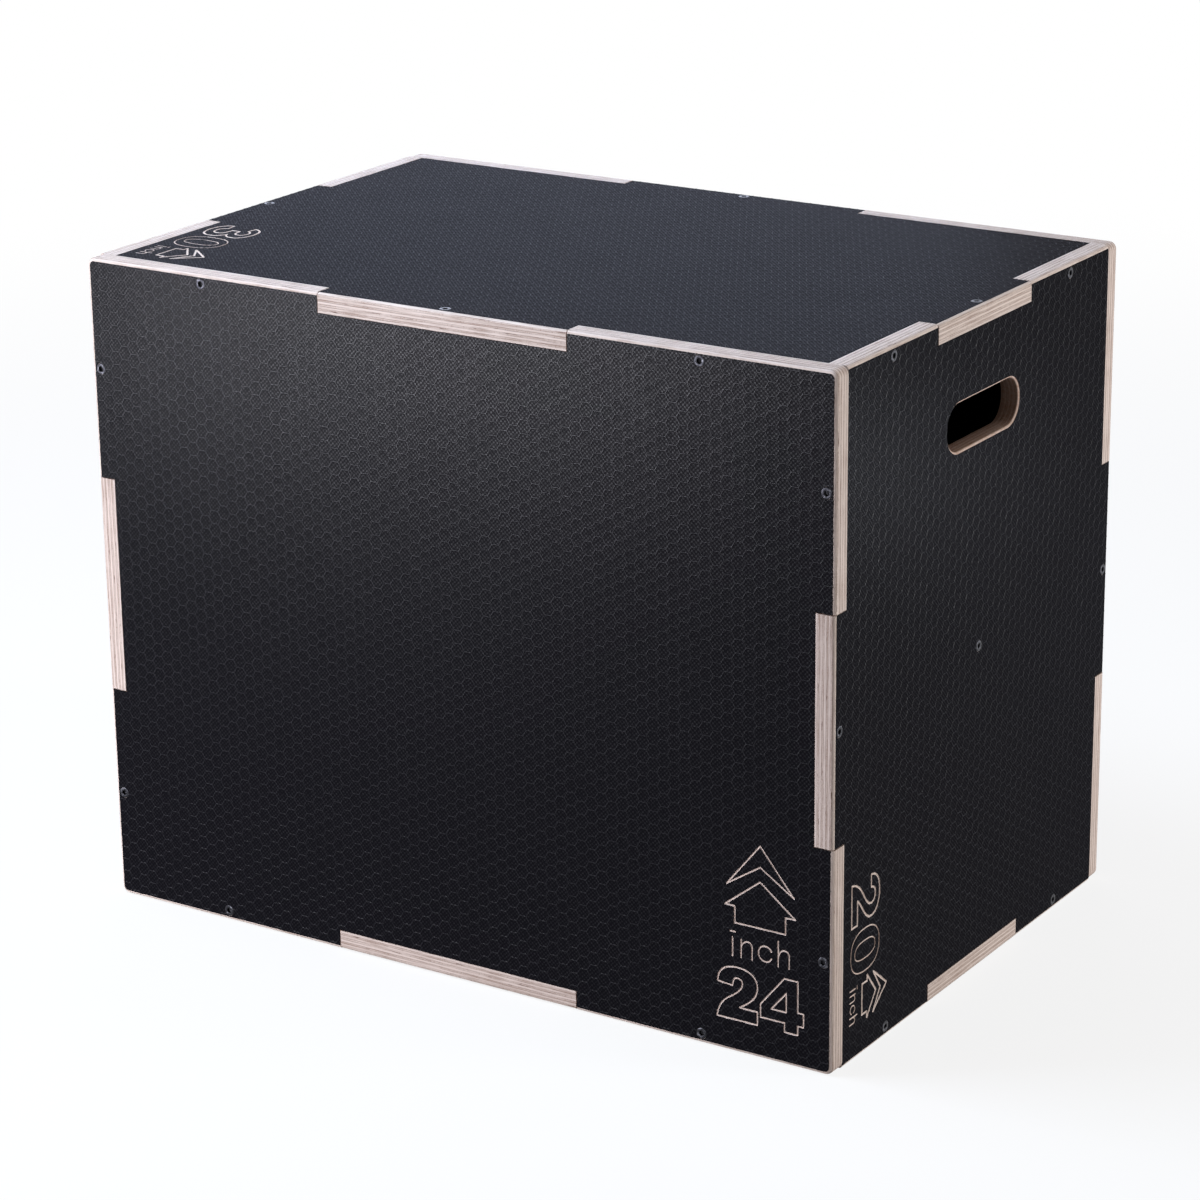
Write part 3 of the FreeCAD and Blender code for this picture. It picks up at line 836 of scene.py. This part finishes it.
def flatPlace(tree, axis, half, middle):
    # the side's flat coordinates, with the depth below its face as the third
    parts = addNode(tree, "ShaderNodeSeparateXYZ")
    tree.links.new(inMillimetres(tree), parts.inputs[0])
    away = sums(tree, "ABSOLUTE", sums(tree, "SUBTRACT", parts.outputs[axis], middle))
    below = sums(tree, "SUBTRACT", half, away)
    flat = addNode(tree, "ShaderNodeCombineXYZ")
    first, second = [n for n in range(3) if n != axis]
    tree.links.new(parts.outputs[first], flat.inputs[0])
    tree.links.new(parts.outputs[second], flat.inputs[1])
    tree.links.new(below, flat.inputs[2])
    return flat.outputs[0], below


def newMaterial(name, plain):
    material = bpy.data.materials.new(name)
    material.use_nodes = True
    tree = material.node_tree
    shader = tree.nodes["Principled BSDF"]
    for socket, value in plain.items():
        shader.inputs[socket].default_value = value
    return material, tree, shader


def wire(tree, shader, effect, strength):
    for output, socket in (("Color", "Base Color"), ("Roughness", "Roughness"), ("Shine", "Coat Weight")):
        if output in effect.outputs:
            tree.links.new(effect.outputs[output], shader.inputs[socket])
    bump = addNode(tree, "ShaderNodeBump")
    bump.inputs["Strength"].default_value = strength
    bump.inputs["Distance"].default_value = mm
    tree.links.new(effect.outputs["Height"], bump.inputs["Height"])
    tree.links.new(bump.outputs["Normal"], shader.inputs["Normal"])


def sideMaterial(name, group, layout, strength, plain, burn=0.0):
    material, tree, shader = newMaterial(name, plain)
    flat, below = flatPlace(tree, *layout)
    effect = addNode(tree, "ShaderNodeGroup", node_tree=group)
    tree.links.new(flat, effect.inputs["Flat"])
    tree.links.new(below, effect.inputs["Depth"])
    if "Burn" in effect.inputs:
        effect.inputs["Burn"].default_value = burn
    wire(tree, shader, effect, strength)
    return material


def scuffedMaterial(name, look):
    plain = {"Specular IOR Level": look["specular"], "Metallic": look["metallic"]}
    material, tree, shader = newMaterial(name, plain)
    effect = addNode(tree, "ShaderNodeGroup", node_tree=fineScuffs)
    tree.links.new(inMillimetres(tree), effect.inputs["Place"])
    for socket in ("Skin", "Rubbed", "Polish"):
        effect.inputs[socket].default_value = look[socket.lower()]
    wire(tree, shader, effect, scuffs["relief"])
    return material


def dress(item, material):
    item.data.materials.clear()
    item.data.materials.append(material)


plywoodLayers, filmSurface, fineScuffs = plywoodGroup(), filmGroup(), scuffGroup()
# for each drawing the axis square to it, and the half size and middle of the box along that axis
layouts = {"wall": (1, halfDepth, 0.0), "end": (0, halfWidth, 0.0), "lid": (2, halfHeight, halfHeight)}
plainWood = {"Specular IOR Level": plywood["specular"]}
plainFilm = {
    "Specular IOR Level": filmLook["specular"],
    "Coat Roughness": filmLook["shineRoughness"],
    "Coat IOR": filmLook["shineIndex"],
}
plywoods, films = {}, {}
for drawing, layout in layouts.items():
    plywoods[drawing] = sideMaterial(f"{drawing}Plywood", plywoodLayers, layout, plywood["relief"], plainWood)
    films[drawing] = sideMaterial(f"{drawing}Film", filmSurface, layout, filmLook["relief"], plainFilm)
routedPlywood = sideMaterial(
    "routedPlywood", plywoodLayers, layouts["end"], plywood["relief"], plainWood, plywood["burn"]
)
supportLayout = (2, halfBoard, halfHeight)
supportPlywood = sideMaterial("supportPlywood", plywoodLayers, supportLayout, plywood["relief"], plainWood)
smoothFilm = scuffedMaterial("smoothFilm", smoothLook)
blackScrew = scuffedMaterial("blackScrew", screwLook)
print("materials: plywood, film, screws")


# Build the six sides
def sideObject(side, name, solid, material):
    points, faces = solid
    item = newObject(name, onSide(points, side), faces)
    dress(item, material)
    return item


for sideName, side in sides.items():
    drawing = side["drawing"]
    wood, skin = plywoods[drawing], films[drawing]
    places = placesOf(drawing)
    panel = sideObject(side, f"{sideName}_plywood", boardSolid(drawing), wood)
    sheet = honeycombSheet(*np.abs(outlineOf(drawing)[:, :2]).max(0))
    film = sideObject(side, f"{sideName}_hex_film", sheet, skin)
    inset = boards["roundover"]
    limit = outlineStack(drawing, [(-boards["film"], inset), (boards["past"], inset)])
    work([film], sideObject(side, "limit", limit, skin), "INTERSECT")
    for item, material in ((panel, wood), (film, skin)):
        work([item], sideObject(side, "seats", repeated(countersinkTool(), places), material))
    if drawing == "end":
        work([panel, film], sideObject(side, "opening", handHoleTool(), routedPlywood))
    if sideName in markBlocks:
        for solid in markTools(markBlocks[sideName]):
            work([panel, film], sideObject(side, "strokes", solid, wood))
    fasteners = sideObject(side, f"{sideName}_socket_screws", repeated(screwSolid(), places), blackScrew)
    dress(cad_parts[f"{sideName}_inner_film"], smoothFilm)
    smooth(panel)
    smooth(fasteners)
    for item, node, slot in (
        (panel, f"{sideName}_panel", "plywood"),
        (film, f"{sideName}_anti_slip_film", "anti_slip_film"),
        (fasteners, f"{sideName}_screws", "black_screw"),
    ):
        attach(item, "root")
        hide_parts(node)
    counts = [triangles(item) for item in (panel, film, fasteners)]
    print(f"{sideName}: triangles of board, film and screws", counts)
dress(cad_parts["inner_support_board"], supportPlywood)


# Floor and light, in metres and watts
studio = {
    "floorReach": 14.0,
    "floorDrop": 0.0002,  # keeps the floor clear of the faces that stand on it
    "bounce": 0.12,  # light that the floor throws back at the box
    "shadowShare": 0.15,  # how much of the floor's white is left to the lamps
    "fadeFrom": 1.2,  # distance from the floor's middle at which the shadow starts to fade
    "fadeTo": 3.0,  # and at which it has gone
    "ambient": 0.06,
    "ambientTint": (1.0, 0.86, 0.74, 1.0),
}
# the film mirrors left in the front, lowRight in the right end, and back in the top
lamps = {
    "left": {"place": (-1.17, -1.9, 0.16), "size": (0.95, 0.28), "power": 39.0, "tint": (0.92, 0.92, 1.0)},
    "farLeft": {"place": (-3.4, -2.4, 0.6), "size": (1.5, 0.7), "power": 26.0, "tint": (0.92, 0.92, 1.0)},
    "right": {"place": (3.2, 1.0, 0.66), "size": (0.8, 1.2), "power": 68.0, "tint": (1.0, 1.0, 1.0)},
    "lowRight": {"place": (1.05, 0.74, 0.18), "size": (0.36, 0.14), "power": 1.5, "tint": (0.86, 0.9, 1.0)},
    "top": {"place": (-1.0, -0.6, 2.5), "size": (1.2, 1.2), "power": 76.0, "tint": (0.7, 0.82, 1.0)},
    "back": {"place": (-1.8, 2.6, 1.3), "size": (1.6, 0.8), "power": 18.5, "tint": (0.66, 0.74, 1.0)},
}


def seenDirectly(tree):
    # one for rays that show the background, straight on, in a gloss or through glass
    light = addNode(tree, "ShaderNodeLightPath").outputs
    seen = sums(tree, "ADD", light["Is Camera Ray"], light["Is Glossy Ray"])
    return sums(tree, "ADD", seen, light["Is Transmission Ray"], clamp=True)


def diffuse(tree, grey):
    node = addNode(tree, "ShaderNodeBsdfDiffuse")
    node.inputs["Color"].default_value = (grey, grey, grey, 1)
    return node.outputs[0]


def glow(tree, strength):
    node = addNode(tree, "ShaderNodeEmission")
    node.inputs["Strength"].default_value = strength
    return node.outputs[0]


def joinedShaders(tree, kind, *outputs):
    node = addNode(tree, kind)
    for output, socket in zip(outputs, node.inputs):
        tree.links.new(output, socket)
    return node.outputs[0]


def floorMaterial():
    # seen directly it is white, with a share near the box left to the lamps and the shadow;
    # light that bounces off it meets a dark grey
    material = bpy.data.materials.new("paleFloor")
    material.use_nodes = True
    tree = material.node_tree
    tree.nodes.clear()
    mix, share = "ShaderNodeMixShader", studio["shadowShare"]
    near = joinedShaders(tree, "ShaderNodeAddShader", diffuse(tree, share), glow(tree, 1 - share))
    reach = addNode(tree, "ShaderNodeVectorMath", operation="LENGTH")
    tree.links.new(addNode(tree, "ShaderNodeTexCoord").outputs["Object"], reach.inputs[0])
    fade = ramp(tree, reach.outputs["Value"], studio["fadeFrom"], studio["fadeTo"])
    white = joinedShaders(tree, mix, fade, near, glow(tree, 1.0))
    shown = joinedShaders(tree, mix, seenDirectly(tree), diffuse(tree, studio["bounce"]), white)
    # clear from below, so that the underside of the box can be looked at
    fromBelow = addNode(tree, "ShaderNodeNewGeometry").outputs["Backfacing"]
    clear = addNode(tree, "ShaderNodeBsdfTransparent").outputs[0]
    surface = joinedShaders(tree, mix, fromBelow, shown, clear)
    tree.links.new(surface, addNode(tree, "ShaderNodeOutputMaterial").inputs["Surface"])
    return material


floorCorners = studio["floorReach"] * np.array([[-1, -1], [1, -1], [1, 1], [-1, 1]])
floor = newObject("floor", atHeight(floorCorners, -studio["floorDrop"]), [[0, 1, 2, 3]])
dress(floor, floorMaterial())

scene = bpy.context.scene
scene.world = bpy.data.worlds.new("studio")
scene.world.use_nodes = True
sky = scene.world.node_tree
backdrop = sky.nodes["Background"]
seen = seenDirectly(sky)
sky.links.new(blended(sky, seen, studio["ambientTint"], (1, 1, 1, 1)), backdrop.inputs["Color"])
sky.links.new(ramp(sky, seen, 0.0, 1.0, studio["ambient"], 1.0), backdrop.inputs["Strength"])
boxMiddle = Vector((0, 0, halfHeight * mm))
for name, lamp in lamps.items():
    light = bpy.data.lights.new(name, "AREA")
    light.energy = lamp["power"]
    light.color = lamp["tint"]
    light.shape = "RECTANGLE"
    light.size, light.size_y = lamp["size"]
    holder = bpy.data.objects.new(name, light)
    holder.location = lamp["place"]
    holder.rotation_euler = (boxMiddle - holder.location).to_track_quat("-Z", "Y").to_euler()
    holder.visible_camera = False
    scene.collection.objects.link(holder)
print("studio: floor, world and", len(lamps), "lamps")

camera = {
    "focal": 3814.55,  # in pixels of the square picture
    "picture": 1200,
    "sensor": 36.0,  # in millimetres
    "azimuth": 32.935,  # degrees from the front towards the right end
    "elevation": 18.7,
    "roll": -0.714,
    "distance": 3.49707,  # metres from the target
    "target": (-0.007886, 0.0, 0.279234),
}


def placeCamera():
    # back points from the target to the eye; right and up are turned about it by the roll
    turn, rise, roll = [math.radians(camera[name]) for name in ("azimuth", "elevation", "roll")]
    back = Vector((math.sin(turn) * math.cos(rise), -math.cos(turn) * math.cos(rise), math.sin(rise)))
    level = Vector((math.cos(turn), math.sin(turn), 0))
    upright = back.cross(level)
    right = math.cos(roll) * level + math.sin(roll) * upright
    up = -math.sin(roll) * level + math.cos(roll) * upright
    eye = Vector(camera["target"]) + camera["distance"] * back
    lens = bpy.data.cameras.new("camera")
    lens.sensor_width = camera["sensor"]
    lens.lens = camera["focal"] / camera["picture"] * camera["sensor"]
    holder = bpy.data.objects.new("camera", lens)
    holder.matrix_world = Matrix((right, up, back)).transposed().to_4x4()
    holder.location = eye
    scene.collection.objects.link(holder)
    scene.camera = holder


placeCamera()
scene.view_settings.view_transform = "Standard"
